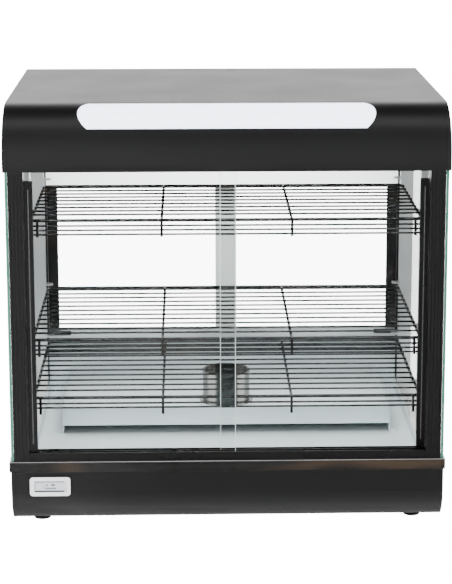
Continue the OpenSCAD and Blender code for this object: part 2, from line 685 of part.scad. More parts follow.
module top_shelf_lip() shelf_lip(top_shelf_z, top_shelf_front, 3);
module middle_shelf_lip() shelf_lip(middle_shelf_z, shelf_front, 3);
module bottom_shelf_lip() shelf_lip(bottom_shelf_z, shelf_front, 2);

// ---------------------------------------------------------------- water cup
cup_wall = 1;
cup_foot_h = 3;
rim_d = 3;
module water_cup() color([0.8, 0.8, 0.82])
    translate([deck_mid, deck_y0 + cup_foot_d / 2 + 0.5, deck_z + gap / 3]) rotate_extrude($fn = 96) {
        square([cup_d / 2, cup_wall]);
        translate([cup_d / 2 - cup_wall, 0]) square([cup_wall, cup_h - rim_d / 2]);
        translate([cup_d / 2 - 0.5, cup_h - rim_d / 2]) circle(d = rim_d, $fn = 24);
        translate([cup_d / 2 - cup_wall, 0]) square([(cup_foot_d - cup_d) / 2 + cup_wall, cup_foot_h]);
    }

// ---------------------------------------------------------------- cord, coil and plug
cord_r = cord_d / 2;
gland_len = 30;
coil_lift = 1;                            // the tie's strap passes under the coil
coil_x = -120;
coil_y = back_y + 76;
coil_mean_r = 38.5;
coil_wide = 3;
coil_high = 2;
coil_out = coil_mean_r + coil_wide * cord_d / 2;
coil_in = coil_mean_r - coil_wide * cord_d / 2;
plug_x = -167;
plug_y = coil_y - coil_out + cord_r;   // in line with the coil's outer turn

// Route of the free cord, from the gland down to the table and into the coil's outer turn
ROUTE = [[-230, 252, 32], [-230, 260, 32], [-230, 268, 31], [-230, 277, 28], [-229, 286, 23],
    [-228, 295, 17], [-226, 304, 11], [-223, 313, 7], [-218, 322, 4], [-212, 331, 3.5],
    [-204, 340, 3.5], [-194, 348, 3.5], [-183, 354, 3.5], [-171, 358, 4], [-159, 361, 4.5],
    [-146, 362, 4.5], [-133, 361, 4.5]];

function unit(v) = v / norm(v);
function spline(a, b, c, d, t) = 0.5 * (2 * b + (c - a) * t + (2 * a - 5 * b + 4 * c - d) * t * t
    + (3 * b - a - 3 * c + d) * t * t * t);
function smooth_path(p, m) = [for (i = [0 : len(p) - 2], k = [0 : m - 1])
    spline(p[max(i - 1, 0)], p[i], p[i + 1], p[min(i + 2, len(p) - 1)], k / m), p[len(p) - 1]];
function tangent(q, i) = unit(q[min(i + 1, len(q) - 1)] - q[max(i - 1, 0)]);
function side_of(t) = unit(cross(t, [0, 0, 1]));
function ring(q, i, r, n) = let (t = tangent(q, i), s = side_of(t), u = cross(s, t))
    [for (k = [0 : n - 1]) q[i] + r * (cos(360 * k / n) * s + sin(360 * k / n) * u)];
module sweep(q, r, n) {
    rings = len(q);
    points = [for (i = [0 : rings - 1]) each ring(q, i, r, n)];
    sides = [for (i = [0 : rings - 2], k = [0 : n - 1])
        [i * n + k, i * n + (k + 1) % n, (i + 1) * n + (k + 1) % n, (i + 1) * n + k]];
    first = [for (k = [n - 1 : -1 : 0]) k];
    last = [for (k = [0 : n - 1]) (rings - 1) * n + k];
    polyhedron(points = points, faces = concat(sides, [first, last]));
}
module cord_tube() color([0.08, 0.08, 0.08]) sweep(smooth_path(ROUTE, 2), cord_r, 10);
module cord_coil() color([0.08, 0.08, 0.08]) translate([coil_x, coil_y, coil_lift])
    rotate_extrude($fn = 96) translate([coil_in, 0]) square([coil_out - coil_in, coil_high * cord_d]);
tie_w = 12;
module cord_tie() color([0.15, 0.15, 0.15]) translate([coil_x + coil_mean_r, coil_y, 0]) difference() {
    block([-coil_wide * cord_d / 2 - 1.5, -tie_w / 2, 0],
          [coil_wide * cord_d / 2 + 2, tie_w / 2, coil_lift + coil_high * cord_d + 1]);
    block([-coil_wide * cord_d / 2 - 1, -tie_w, coil_lift - 0.1],
          [coil_wide * cord_d / 2 + 0.4, tie_w, coil_lift + coil_high * cord_d + 0.1]);
}
module cord_gland() color([0.05, 0.05, 0.05]) translate([gland_x, panel_y, gland_z]) rotate([-90, 0, 0]) {
    translate([0, 0, -6]) cylinder(d = gland_hole_d - 1, h = 6.5);
    cylinder(d = 20, h = 4);
    translate([0, 0, 4 - eps]) cylinder(d1 = 15, d2 = cord_d + 2.5, h = gland_len - 4 + 2);
}
plug_len = 26;                            // moulded body, without its cord sleeve
plug_w = 24;
plug_h = 18;
sleeve_len = 8;
module plug_body() color([0.07, 0.07, 0.07]) {
    block([plug_x - plug_len / 2, plug_y - plug_w / 2, 0],
          [plug_x + plug_len / 2, plug_y + plug_w / 2, plug_h]);
    block([plug_x + plug_len / 2 - eps, plug_y - 6, 3],
          [plug_x + plug_len / 2 + sleeve_len, plug_y + 6, plug_h - 3]);
}
module plug_pins() color([0.75, 0.7, 0.5]) {
    x1 = plug_x - plug_len / 2;
    for (s = [-1, 1]) block([x1 - 16, plug_y + s * 6.3 - 0.75, 9.5], [x1, plug_y + s * 6.3 + 0.75, 15.8]);
    rod_x(x1 - 18, x1, plug_y, 4.2, 4.8);
}

base_shell();
base_rear_panel();
rubber_feet();
trim_band();
floor_pan();
rear_liner();
rear_sill();
front_posts();
rear_posts();
side_glass_left();
side_glass_right();
front_lower_track();
front_upper_track();
rear_lower_track();
rear_upper_track();
rear_header();
header_liner();
top_side_rails();
ceiling_liner();
hood_shell();
hood_end_caps();
hood_rear_panel();
light_window();
lamp_tube();
lamp_holders();
lamp_ballast();
shelf_uprights();
shelf_clips();
heater_element();
heater_supports();
heater_deck();
thermometer_bezel();
thermometer_face();
thermostat_body();
switch_bodies();
case_screws();
front_door_left_glass();
front_door_left_pull();
front_door_right_glass();
front_door_right_pull();
rear_door_left_glass();
rear_door_left_pull();
rear_door_right_glass();
rear_door_right_pull();
top_shelf();
middle_shelf();
bottom_shelf();
top_shelf_lip();
middle_shelf_lip();
bottom_shelf_lip();
water_cup();
thermostat_knob();
power_rocker();
lamp_rocker();
cord_gland();
cord_tube();
cord_coil();
cord_tie();
plug_body();
plug_pins();
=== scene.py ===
"""Looks for a countertop heated display case: hood, glass, wire shelves and heated base.

Metres throughout. The front faces -Y, +Z is up, and the feet stand on z = 0.
"""
import json
import math

import bmesh
import bpy
from mathutils import Euler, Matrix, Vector


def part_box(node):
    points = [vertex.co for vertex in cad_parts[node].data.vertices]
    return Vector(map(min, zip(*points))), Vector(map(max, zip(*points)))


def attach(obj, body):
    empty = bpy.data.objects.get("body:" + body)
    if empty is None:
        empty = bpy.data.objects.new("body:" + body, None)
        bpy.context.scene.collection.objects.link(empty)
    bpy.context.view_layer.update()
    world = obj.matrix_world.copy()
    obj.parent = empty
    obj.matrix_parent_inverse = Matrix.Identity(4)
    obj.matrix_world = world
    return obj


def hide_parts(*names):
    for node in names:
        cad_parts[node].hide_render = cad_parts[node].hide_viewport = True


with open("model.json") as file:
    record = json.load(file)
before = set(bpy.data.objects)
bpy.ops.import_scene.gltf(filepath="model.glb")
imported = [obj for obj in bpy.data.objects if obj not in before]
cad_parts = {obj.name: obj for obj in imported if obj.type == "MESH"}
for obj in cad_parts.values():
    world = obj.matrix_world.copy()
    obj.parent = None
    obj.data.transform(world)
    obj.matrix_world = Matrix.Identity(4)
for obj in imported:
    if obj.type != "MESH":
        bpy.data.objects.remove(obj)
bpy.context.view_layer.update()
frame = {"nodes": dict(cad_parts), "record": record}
NODES = frame["nodes"]
MM = 0.001
FLOOR_GLOW = 16.0
CUP_X = 2 * MM


# ---------------------------------------------------------------- camera, floor and light
def add_camera():
    data = bpy.data.cameras.new("camera")
    data.lens = 119.49
    data.shift_x = -0.029
    data.shift_y = -0.120
    data.sensor_width = 36
    data.clip_end = 100
    camera = bpy.data.objects.new("camera", data)
    camera.location = (-0.0550, -3.0386, 1.0465)
    camera.rotation_euler = Euler((math.radians(78.42), 0, math.radians(-1.59)))
    bpy.context.scene.collection.objects.link(camera)
    bpy.context.scene.camera = camera


def add_floor():
    mesh = bpy.data.meshes.new("floor")
    half = 40
    corners = [(-half, -half, 0), (half, -half, 0), (half, half, 0), (-half, half, 0)]
    mesh.from_pydata(corners, [], [(0, 1, 2, 3)])
    floor = bpy.data.objects.new("floor", mesh)
    bpy.context.scene.collection.objects.link(floor)
    mesh.materials.append(pale_floor())


def add_area_light(name, location, target, size, power, mirrored=True):
    data = bpy.data.lights.new(name, "AREA")
    data.shape = "RECTANGLE"
    data.size, data.size_y = size
    data.energy = power
    light = bpy.data.objects.new(name, data)
    light.location = location
    light.rotation_euler = (Vector(target) - Vector(location)).to_track_quat("-Z", "Y").to_euler()
    light.visible_glossy = mirrored
    bpy.context.scene.collection.objects.link(light)


def add_studio():
    """White behind the case; dark ahead and overhead but for a band at eye level and a strip above."""
    world = bpy.data.worlds.new("studio")
    world.use_nodes = True
    bpy.context.scene.world = world
    tree = Tree(world.node_tree)
    background = world.node_tree.nodes["Background"]
    axis = tree.add("ShaderNodeSeparateXYZ", Vector=tree.add("ShaderNodeTexCoord").outputs["Generated"])
    behind = tree.fade(axis.outputs["Y"], 0.0, 0.35)
    low = tree.fade(axis.outputs["Z"], 0.68, 0.36)
    ahead = tree.fade(axis.outputs["Y"], -0.2, -0.6)
    level = tree.fade(tree.maths("ABSOLUTE", tree.maths("SUBTRACT", axis.outputs["Z"], 0.04)), 0.24, 0.0)
    leftward = tree.fade(axis.outputs["X"], 0.2, -0.8)
    band = tree.maths("MULTIPLY", tree.maths("MULTIPLY", ahead, level), tree.maths("ADD", leftward, 0.06))
    off_strip = tree.maths("ABSOLUTE", tree.maths("ADD", axis.outputs["Y"], 0.24))
    strip = tree.maths("MULTIPLY", tree.fade(axis.outputs["Z"], 0.86, 0.94), tree.fade(off_strip, 0.36, 0.16))
    glow = tree.maths("ADD", tree.maths("MULTIPLY", behind, low), tree.maths("MULTIPLY", band, 0.30))
    glow = tree.maths("ADD", glow, tree.maths("MULTIPLY", strip, 0.7))
    tree.join(tree.blend(glow, (0.022, 0.022, 0.024), (1.0, 1.0, 1.0)), background.inputs["Color"])
    background.inputs["Strength"].default_value = 2.2


def add_lights():
    add_studio()
    add_area_light("softbox_above", (0, 0.2, 2.4), (0, 0.0, 0.3), (2.4, 1.8), 60, mirrored=False)
    add_area_light("softbox_front", (-0.4, -3.2, 2.0), (0, 0, 0.3), (2.6, 1.6), 150, mirrored=False)
    low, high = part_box("ceiling_liner")
    lamp_z = low.z - 8 * MM
    add_area_light("case_lamp", (0, -0.02, lamp_z), (0, -0.02, 0), (0.56, 0.34), 9, mirrored=False)


# ---------------------------------------------------------------- node helpers
class Tree:
    """Adds and joins nodes in one node tree."""

    def __init__(self, tree):
        self.tree = tree

    def add(self, kind, **values):
        node = self.tree.nodes.new(kind)
        for key, value in values.items():
            if key in node.inputs.keys() or key.replace("_", " ") in node.inputs.keys():
                socket = node.inputs[key if key in node.inputs.keys() else key.replace("_", " ")]
                if isinstance(value, bpy.types.NodeSocket):
                    self.tree.links.new(value, socket)
                else:
                    socket.default_value = value
            else:
                setattr(node, key, value)
        return node

    def join(self, source, target):
        self.tree.links.new(source, target)

    def maths(self, operation, a, b=None):
        node = self.tree.nodes.new("ShaderNodeMath")
        node.operation = operation
        for socket, value in zip(node.inputs, (a, b)):
            if isinstance(value, bpy.types.NodeSocket):
                self.join(value, socket)
            elif value is not None:
                socket.default_value = value
        return node.outputs[0]

    def fade(self, value, zero_at, one_at):
        """0 at zero_at rising to 1 at one_at, with smooth ends."""
        node = self.add("ShaderNodeMapRange", interpolation_type="SMOOTHSTEP", Value=value)
        flipped = zero_at > one_at
        node.inputs["From Min"].default_value = one_at if flipped else zero_at
        node.inputs["From Max"].default_value = zero_at if flipped else one_at
        node.inputs["To Min"].default_value = 1.0 if flipped else 0.0
        node.inputs["To Max"].default_value = 0.0 if flipped else 1.0
        return node.outputs["Result"]

    def blend(self, factor, a, b):
        node = self.tree.nodes.new("ShaderNodeMix")
        node.data_type = "RGBA"
        for socket, value in ((node.inputs[0], factor), (node.inputs[6], a), (node.inputs[7], b)):
            if isinstance(value, bpy.types.NodeSocket):
                self.join(value, socket)
            else:
                socket.default_value = value if not isinstance(value, tuple) else (*value, 1)[:4]
        return node.outputs[2]


def shader_group(name, inputs, outputs):
    """An empty shader node group with float inputs {name: value} and outputs {name: kind}."""
    group = bpy.data.node_groups.new(name, "ShaderNodeTree")
    for key, value in inputs.items():
        socket = group.interface.new_socket(key, in_out="INPUT", socket_type="NodeSocketFloat")
        socket.default_value = value
    for key, kind in outputs.items():
        group.interface.new_socket(key, in_out="OUTPUT", socket_type=kind)
    tree = Tree(group)
    source = group.nodes.new("NodeGroupInput")
    target = group.nodes.new("NodeGroupOutput")
    return group, tree, source.outputs, target.inputs


def grain_group():
    """Fine even grain: powder coat, moulded plastic and rubber."""
    group, tree, given, out = shader_group(
        "fine_grain", {"Size mm": 1.0, "Roughness": 0.4, "Spread": 0.1, "Depth": 0.1},
        {"Roughness": "NodeSocketFloat", "Normal": "NodeSocketVector", "Mottle": "NodeSocketFloat"})
    place = tree.add("ShaderNodeTexCoord").outputs["Object"]
    scale = tree.maths("DIVIDE", 1000.0, given["Size mm"])
    fine = tree.add("ShaderNodeTexNoise", Vector=place, Scale=scale, Detail=3.0)
    broad = tree.add("ShaderNodeTexNoise", Vector=place, Scale=9.0, Detail=4.0)
    drift = tree.maths("SUBTRACT", broad.outputs["Fac"], 0.5)
    drifted = tree.maths("MULTIPLY", drift, given["Spread"])
    tree.join(tree.maths("ADD", given["Roughness"], drifted), out["Roughness"])
    bump = tree.add("ShaderNodeBump", Strength=given["Depth"], Distance=0.0002, Height=fine.outputs["Fac"])
    tree.join(bump.outputs["Normal"], out["Normal"])
    tree.join(broad.outputs["Fac"], out["Mottle"])
    return group


def brush_group():
    """Long fine scratches along X with faint smears, for rolled and brushed sheet."""
    group, tree, given, out = shader_group(
        "brushed_lines", {"Line mm": 0.4, "Roughness": 0.3, "Spread": 0.2, "Depth": 0.1},
        {"Roughness": "NodeSocketFloat", "Normal": "NodeSocketVector", "Smear": "NodeSocketFloat"})
    place = tree.add("ShaderNodeTexCoord").outputs["Object"]
    stretch = tree.add("ShaderNodeMapping", Vector=place, Scale=(0.02, 1, 1))
    scale = tree.maths("DIVIDE", 1000.0, given["Line mm"])
    lines = tree.add("ShaderNodeTexNoise", Vector=stretch.outputs[0], Scale=scale, Detail=2.0)
    smear = tree.add("ShaderNodeTexNoise", Vector=place, Scale=7.0, Detail=5.0, Roughness=0.6)
    centred = tree.maths("SUBTRACT", lines.outputs["Fac"], 0.5)
    rough = tree.maths("ADD", given["Roughness"], tree.maths("MULTIPLY", centred, given["Spread"]))
    smeared = tree.maths("MULTIPLY", tree.maths("SUBTRACT", smear.outputs["Fac"], 0.5), given["Spread"])
    tree.join(tree.maths("ADD", rough, smeared), out["Roughness"])
    bump = tree.add("ShaderNodeBump", Strength=given["Depth"], Distance=0.0001, Height=lines.outputs["Fac"])
    tree.join(bump.outputs["Normal"], out["Normal"])
    tree.join(smear.outputs["Fac"], out["Smear"])
    return group


GRAIN = grain_group()
BRUSH = brush_group()


def new_material(name, base, metallic=0.0, roughness=0.4, **plain):
    """A material with one Principled shader; plain values go straight onto its sockets."""
    material = bpy.data.materials.new(name)
    material.use_nodes = True
    material.diffuse_color = (*base, 1)
    tree = Tree(material.node_tree)
    shader = material.node_tree.nodes["Principled BSDF"]
    shader.inputs["Base Color"].default_value = (*base, 1)
    shader.inputs["Metallic"].default_value = metallic
    shader.inputs["Roughness"].default_value = roughness
    for key, value in plain.items():
        shader.inputs[key.replace("_", " ")].default_value = value
    return material, tree, shader.inputs


def grained(name, base, roughness, size, depth, spread=0.12, lighter=1.25, **plain):
    """Painted, moulded or rubber finish with fine grain and faint mottling."""
    material, tree, shader = new_material(name, base, roughness=roughness, **plain)
    grain = tree.add("ShaderNodeGroup", node_tree=GRAIN)
    for key, value in (("Size mm", size), ("Roughness", roughness), ("Spread", spread), ("Depth", depth)):
        grain.inputs[key].default_value = value
    pale = tuple(min(1.0, c * lighter) for c in base)
    tree.join(tree.blend(grain.outputs["Mottle"], base, pale), shader["Base Color"])
    tree.join(grain.outputs["Roughness"], shader["Roughness"])
    tree.join(grain.outputs["Normal"], shader["Normal"])
    return material


def brushed(name, base, roughness, line, depth, spread=0.15, darker=0.86, **plain):
    """Metal sheet with brush lines and faint smears."""
    plain.setdefault("Metallic", 1.0)
    material, tree, shader = new_material(name, base, roughness=roughness, **plain)
    brush = tree.add("ShaderNodeGroup", node_tree=BRUSH)
    for key, value in (("Line mm", line), ("Roughness", roughness), ("Spread", spread), ("Depth", depth)):
        brush.inputs[key].default_value = value
    dull = tuple(c * darker for c in base)
    tree.join(tree.blend(brush.outputs["Smear"], base, dull), shader["Base Color"])
    tree.join(brush.outputs["Roughness"], shader["Roughness"])
    tree.join(brush.outputs["Normal"], shader["Normal"])
    return material


def shaded_steel(name, base, roughness, axis, dim_at, clear_at, dim):
    """Brushed liner sheet, darker towards one side; on the rear liner the darker top is painted shade."""
    material = brushed(name, base, roughness, 0.5, 0.08, Metallic=0.45)
    tree = Tree(material.node_tree)
    shader = material.node_tree.nodes["Principled BSDF"].inputs
    place = tree.add("ShaderNodeSeparateXYZ", Vector=tree.add("ShaderNodeTexCoord").outputs["Object"])
    # Darkens towards dim_at along one axis: painted shade on the rear liner's upper part.
    clear = tree.fade(place.outputs[axis], dim_at, clear_at)
    finish = shader["Base Color"].links[0].from_socket
    dull = tuple(c * dim for c in base)
    tree.join(tree.blend(clear, dull, finish), shader["Base Color"])
    return material


def spun_steel(name):
    """Polished steel spun on a lathe, with dark bands up the middle and the sides as painted reflections."""
    material = brushed(name, (0.62, 0.59, 0.55), 0.16, 0.4, 0.04, spread=0.08, Metallic=0.85)
    tree = Tree(material.node_tree)
    shader = material.node_tree.nodes["Principled BSDF"].inputs
    place = tree.add("ShaderNodeSeparateXYZ", Vector=tree.add("ShaderNodeTexCoord").outputs["Object"])
    # Painted reflections: dark vertical bands on the cup's middle and sides.
    across = tree.maths("ABSOLUTE", tree.maths("SUBTRACT", place.outputs[0], CUP_X))
    side = tree.maths("MULTIPLY", tree.fade(across, 0.026, 0.033), -0.75)
    painted_reflection_bands = tree.maths("ADD", tree.fade(across, 0.014, 0.020), side)
    finish = shader["Base Color"].links[0].from_socket
    tree.join(tree.blend(painted_reflection_bands, (0.075, 0.085, 0.083), finish), shader["Base Color"])
    return material


def pane(name, normal_axis, tint, edge):
    """Clear float glass: faces square to normal_axis are clear and the cut edges are green."""
    material, tree, shader = new_material(
        name, tint, roughness=0.0, Transmission_Weight=1.0, IOR=1.45)
    facing = tree.add("ShaderNodeSeparateXYZ", Vector=tree.add("ShaderNodeNewGeometry").outputs["Normal"])
    flat = tree.maths("ABSOLUTE", facing.outputs[normal_axis])
    cut = tree.maths("LESS_THAN", flat, 0.5)
    tree.join(tree.blend(cut, tint, edge), shader["Base Color"])
    path = tree.add("ShaderNodeLightPath")
    soft = tree.maths("MAXIMUM", path.outputs["Is Shadow Ray"], path.outputs["Is Diffuse Ray"])
    through = tree.add("ShaderNodeBsdfTransparent", Color=(0.96, 0.98, 0.97, 1))
    mix = tree.add("ShaderNodeMixShader")
    tree.join(soft, mix.inputs[0])
    tree.join(material.node_tree.nodes["Principled BSDF"].outputs[0], mix.inputs[1])
    tree.join(through.outputs[0], mix.inputs[2])
    tree.join(mix.outputs[0], material.node_tree.nodes["Material Output"].inputs["Surface"])
    return material


def glowing(name, base, glow, strength, roughness):
    """Milk-white plastic or glass lit from inside, its glow faintly mottled."""
    material, tree, shader = new_material(
        name, base, roughness=roughness, Emission_Strength=strength)
    place = tree.add("ShaderNodeTexCoord").outputs["Object"]
    cloud = tree.add("ShaderNodeTexNoise", Vector=place, Scale=14.0, Detail=2.0)
    dimmer = tuple(c * 0.95 for c in glow)
    tree.join(tree.blend(cloud.outputs["Fac"], glow, dimmer), shader["Emission Color"])
    return material


def pale_floor():
    """White and shadowless where it is looked at; in reflections it darkens towards the front."""
    material, tree, shader = new_material("pale_floor", (0.93, 0.93, 0.93), roughness=0.7)
    place = tree.add("ShaderNodeTexCoord").outputs["Object"]
    along = tree.add("ShaderNodeSeparateXYZ", Vector=place)
    table = tree.fade(along.outputs["Y"], -0.45, 0.2)
    path = tree.add("ShaderNodeLightPath")
    mirrored = tree.maths("GREATER_THAN", path.outputs["Glossy Depth"], 0.5)
    bounced = tree.maths("MAXIMUM", mirrored, tree.maths("GREATER_THAN", path.outputs["Diffuse Depth"], 0.5))
    seen = tree.maths("SUBTRACT", 1.0, bounced)
    patches = tree.add("ShaderNodeTexNoise", Vector=place, Scale=4.5, Detail=1.0)
    patch = tree.fade(patches.outputs["Fac"], 0.5, 0.68)
    warm = tree.blend(patch, (0.004, 0.004, 0.004), (0.050, 0.030, 0.018))
    reflected = tree.blend(table, warm, (0.85, 0.85, 0.85))
    tree.join(tree.blend(mirrored, (0.93, 0.93, 0.93), reflected), shader["Base Color"])
    shader["Specular IOR Level"].default_value = 0.0
    shader["Emission Strength"].default_value = FLOOR_GLOW
    tree.join(tree.blend(seen, (0, 0, 0), (1.0, 1.0, 1.0)), shader["Emission Color"])
    return material


SLOTS = {
    "black_paint": grained("satin_black_paint", (0.0016, 0.0016, 0.0017), 0.36, 0.5, 0.12),
    "polished_steel": brushed("polished_stainless", (0.80, 0.79, 0.77), 0.06, 0.5, 0.02, spread=0.05),
    # painted shade: the rear liner is darker towards its top
    "liner_steel": shaded_steel("liner_stainless_painted_shade", (0.72, 0.79, 0.81), 0.42, 2, 0.170, 0.120, 0.42),
    # the deck is darker towards its back
    "deck_steel": shaded_steel("deck_stainless", (0.72, 0.80, 0.82), 0.38, 1, 0.20, -0.06, 0.52),
    "liner_white": grained("white_enamel", (0.84, 0.85, 0.85), 0.35, 0.8, 0.05, lighter=1.04),
    "post_black": grained("dark_anodised_extrusion", (0.0022, 0.0022, 0.0024), 0.32, 0.4, 0.08),
    "pane_glass": pane("side_float_glass", 0, (0.97, 0.99, 0.98), (0.20, 0.55, 0.45)),
    "door_glass": pane("door_float_glass", 1, (0.985, 0.995, 0.99), (0.55, 0.85, 0.76)),
    "track_black": grained("black_plastic_extrusion", (0.0015, 0.0015, 0.0016), 0.28, 0.4, 0.08),
    "track_grey": brushed("plain_aluminium_extrusion", (0.76, 0.77, 0.78), 0.36, 0.4, 0.08),
    "lit_panel": glowing("milk_white_diffuser", (0.88, 0.89, 0.94), (0.74, 0.80, 1.0), 3.4, 0.35),
    "lamp_glass": glowing("frosted_lamp_glass", (0.92, 0.92, 0.90), (1.0, 0.98, 0.93), 2.0, 0.3),
    "holder_plastic": grained("cream_moulded_plastic", (0.66, 0.64, 0.58), 0.45, 0.7, 0.1, lighter=1.08),
    "upright_steel": brushed("pressed_strip_steel", (0.74, 0.75, 0.76), 0.32, 0.4, 0.08),
    "heater_sheath": brushed("heat_darkened_sheath", (0.32, 0.28, 0.25), 0.48, 0.6, 0.2, darker=0.6),
    "bezel_chrome": brushed("bright_chrome_bezel", (0.92, 0.92, 0.93), 0.22, 0.5, 0.02, spread=0.04,
                            Metallic=0.2),
    "display_plastic": grained("clear_window_plastic", (0.62, 0.64, 0.66), 0.12, 0.8, 0.02, lighter=1.1),
    "knob_black": grained("moulded_black_plastic", (0.02, 0.02, 0.02), 0.42, 0.6, 0.2),
    "screw_steel": brushed("zinc_plated_screw", (0.66, 0.66, 0.68), 0.28, 0.3, 0.08),
    "shelf_wire": brushed("plated_wire", (0.045, 0.047, 0.048), 0.16, 0.4, 0.04, spread=0.1),
    "cup_steel": spun_steel("spun_stainless_painted_reflections"),
    "rocker_red": grained("red_rocker_plastic", (0.55, 0.02, 0.015), 0.30, 0.7, 0.05),
    "foot_rubber": grained("moulded_rubber", (0.018, 0.018, 0.018), 0.62, 0.7, 0.3),
    "cord_black": grained("cord_sheath", (0.02, 0.02, 0.02), 0.5, 0.6, 0.25),
    "tie_black": grained("woven_strap", (0.05, 0.05, 0.05), 0.8, 0.9, 0.6),
    "pin_brass": brushed("brass_pin", (0.78, 0.66, 0.38), 0.22, 0.3, 0.06),
}


def finish_cad_nodes():
    for entry in frame["record"]["subparts"]:
        node = NODES[entry["node"]]
        node.data.materials.clear()
        node.data.materials.append(SLOTS[entry["material_slot"]])


# ---------------------------------------------------------------- the cord
CORD_D = 7 * MM
COIL_CENTRE = Vector((-120 * MM, 316 * MM, 0))
COIL_OUTER = 45.5 * MM
ROUTE = [(-230, 252, 32), (-230, 260, 32), (-230, 268, 31), (-230, 277, 28), (-229, 286, 23),
         (-228, 295, 17), (-226, 304, 11), (-223, 313, 7), (-218, 322, 4), (-212, 331, 3.5),
         (-204, 340, 3.5), (-194, 348, 3.5), (-183, 354, 3.5), (-171, 358, 4), (-159, 361, 4.5),
         (-146, 362, 4.5), (-133, 361, 4.5)]
TAIL = [(-128, 270.5, 11.3), (-136, 270.5, 10.3), (-144, 270.5, 9.3), (-150, 270.5, 9)]


def ease(t):
    t = min(1.0, max(0.0, t))
    return t * t * (3 - 2 * t)


def coil_points(turns=5.5, per_turn=40):
    """Two layers of three turns: inwards along the table, up, and outwards on top."""
    points = []
    steps = int(turns * per_turn)
    for i in range(steps + 1):
        t = i / per_turn
        shift = [ease((t - k + 0.52) / 0.5) for k in (1, 2, 3, 4, 5)]
        radius = COIL_OUTER - CORD_D * (shift[0] + shift[1] - shift[3] - shift[4])
        angle = math.radians(90) - 2 * math.pi * t
        height = 4.5 * MM + CORD_D * shift[2]
        points.append(COIL_CENTRE + Vector((radius * math.cos(angle), radius * math.sin(angle), height)))
    return points


def cord_path():
    start = [Vector(p) * MM for p in ROUTE]
    end = [Vector(p) * MM for p in TAIL]
    return smooth(start + coil_points()[::4] + end, 4)


def smooth(points, parts):
    """A Catmull-Rom curve through the points, with parts steps between each pair."""
    result = []
    for i in range(len(points) - 1):
        a, b = points[max(i - 1, 0)], points[i]
        c, d = points[i + 1], points[min(i + 2, len(points) - 1)]
        for k in range(parts):
            t = k / parts
            result.append(0.5 * (2 * b + (c - a) * t + (2 * a - 5 * b + 4 * c - d) * t * t
                                 + (3 * b - a - 3 * c + d) * t ** 3))
    result.append(points[-1])
    return result


def tube_object(name, path, radius, sides, material):
    """A closed round tube along a path, without twist."""
    shape = bmesh.new()
    rings = []
    side = (path[1] - path[0]).cross(Vector((0, 0, 1))).normalized()
    for i, point in enumerate(path):
        forward = (path[min(i + 1, len(path) - 1)] - path[max(i - 1, 0)]).normalized()
        side = (side - forward * side.dot(forward)).normalized()
        up = side.cross(forward)
        rings.append([shape.verts.new(point + radius * (math.cos(a) * side + math.sin(a) * up))
                      for a in (2 * math.pi * k / sides for k in range(sides))])
    for ring, following in zip(rings, rings[1:]):
        for k in range(sides):
            face = shape.faces.new((ring[k], ring[(k + 1) % sides], following[(k + 1) % sides], following[k]))
            face.smooth = True
    shape.faces.new(rings[0][::-1])
    shape.faces.new(rings[-1])
    bmesh.ops.recalc_face_normals(shape, faces=shape.faces)
    return finish_mesh(name, shape, material)


def finish_mesh(name, shape, material):
    mesh = bpy.data.meshes.new(name)
    shape.to_mesh(mesh)
    shape.free()
    mesh.materials.append(material)
    piece = bpy.data.objects.new(name, mesh)
    bpy.context.scene.collection.objects.link(piece)
    return piece


def length_of(path):
    return sum((b - a).length for a, b in zip(path, path[1:]))


def add_cord():
    path = cord_path()
    cord = tube_object("mains_cord", path, CORD_D / 2, 12, SLOTS["cord_black"])
    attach(cord, "case")
    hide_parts("cord_tube", "cord_coil")
    print("cord length", round(length_of(path), 4))


# ---------------------------------------------------------------- extra finishes
EXTRA = {
    "glass_edge_green": grained("green_glass_edge", (0.035, 0.125, 0.095), 0.22, 0.4, 0.03),
    "glass_edge_pale": grained("ground_glass_edge", (0.58, 0.66, 0.63), 0.35, 0.3, 0.05, lighter=1.1),
    "draught_grey": grained("grey_draught_film", (0.40, 0.41, 0.41), 0.4, 0.6, 0.03, lighter=1.05),
    # painted shade behind the upright slots; also the dark end blocks of the rear track
    "slot_shade_and_block_black": grained("painted_slot_shade_and_black_blocks", (0.012, 0.012, 0.012), 0.6, 0.5, 0.1),
    "print_white": grained("white_print", (0.75, 0.75, 0.75), 0.5, 0.3, 0.05, lighter=1.05),
    "print_dark": grained("dark_print", (0.02, 0.022, 0.025), 0.45, 0.3, 0.05),
    "display_pale": grained("display_panel", (0.50, 0.53, 0.56), 0.25, 0.5, 0.03, lighter=1.15),
    "trim_grey": grained("grey_pull_rib", (0.06, 0.06, 0.062), 0.35, 0.4, 0.06),
    # painted highlight on the light window's cut edge
    "rim_painted_highlight": brushed("painted_window_rim_highlight", (0.85, 0.86, 0.88), 0.2, 0.4, 0.03, Metallic=0.3),
    # painted highlight along the trim band's front fold
    "fold_painted_highlight": brushed("painted_fold_highlight", (0.62, 0.59, 0.55), 0.35, 0.5, 0.03, spread=0.05, Metallic=0.1),
    "lamp_cap": brushed("aluminium_lamp_cap", (0.75, 0.75, 0.76), 0.3, 0.4, 0.05),
}


# ---------------------------------------------------------------- shape helpers
def block_shape(low, high, bevel):
    """A box from its lowest to its highest corner with softened edges."""
    shape = bmesh.new()
    bmesh.ops.create_cube(shape, size=1)
    low, high = Vector(low), Vector(high)
    for vert in shape.verts:
        vert.co = Vector(((low[i] + high[i]) / 2 + vert.co[i] * (high[i] - low[i]) for i in range(3)))
    bmesh.ops.bevel(shape, geom=shape.edges[:], offset=bevel, segments=2, affect="EDGES", profile=0.5)
    bmesh.ops.recalc_face_normals(shape, faces=shape.faces)
    return shape


def merged(shapes):
    """One shape from several."""
    result = shapes[0]
    for shape in shapes[1:]:
        mesh = bpy.data.meshes.new("joining")
        shape.to_mesh(mesh)
        shape.free()
        result.from_mesh(mesh)
        bpy.data.meshes.remove(mesh)
    return result


